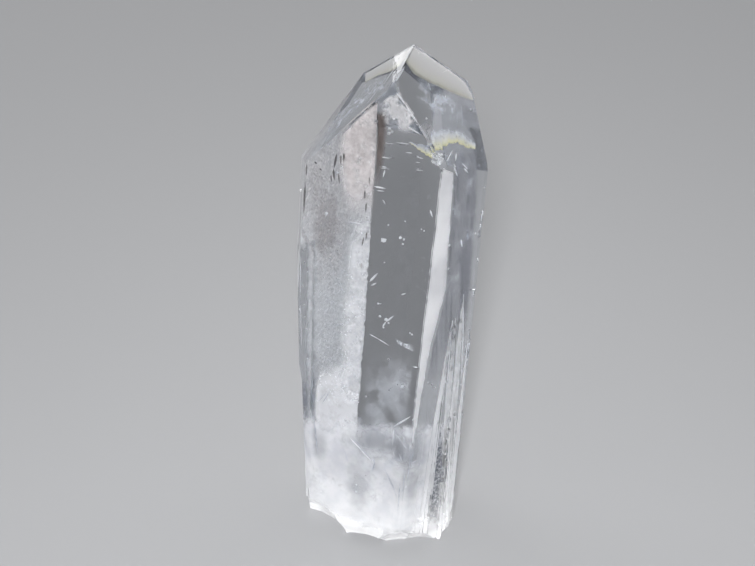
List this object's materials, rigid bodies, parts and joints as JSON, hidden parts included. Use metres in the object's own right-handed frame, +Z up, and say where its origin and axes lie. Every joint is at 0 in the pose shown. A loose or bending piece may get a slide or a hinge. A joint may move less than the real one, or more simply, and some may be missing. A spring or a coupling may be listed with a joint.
{
  "type": "quartz crystal",
  "caption": "Clear quartz point with a six-sided prism, a three-faced tip, blade-like ridges at its lower right and a broken, milky base that it stands on.",
  "frame": {"origin": "middle of the bottom of the crystal's bounding box, on the surface that it stands on", "axes": "+Z up, roughly along the crystal's long axis; -Y is the side that the picture shows; +X is to its right"},
  "size_m": [0.0252, 0.0246, 0.072],
  "materials": {
    "clear_quartz": "glassy natural crystal faces, etched and frosted on the back left face, milky and fractured towards the broken base"
  },
  "bodies": {
    "root": {"quartz_crystal": "clear_quartz"}
  },
  "joints": []
}
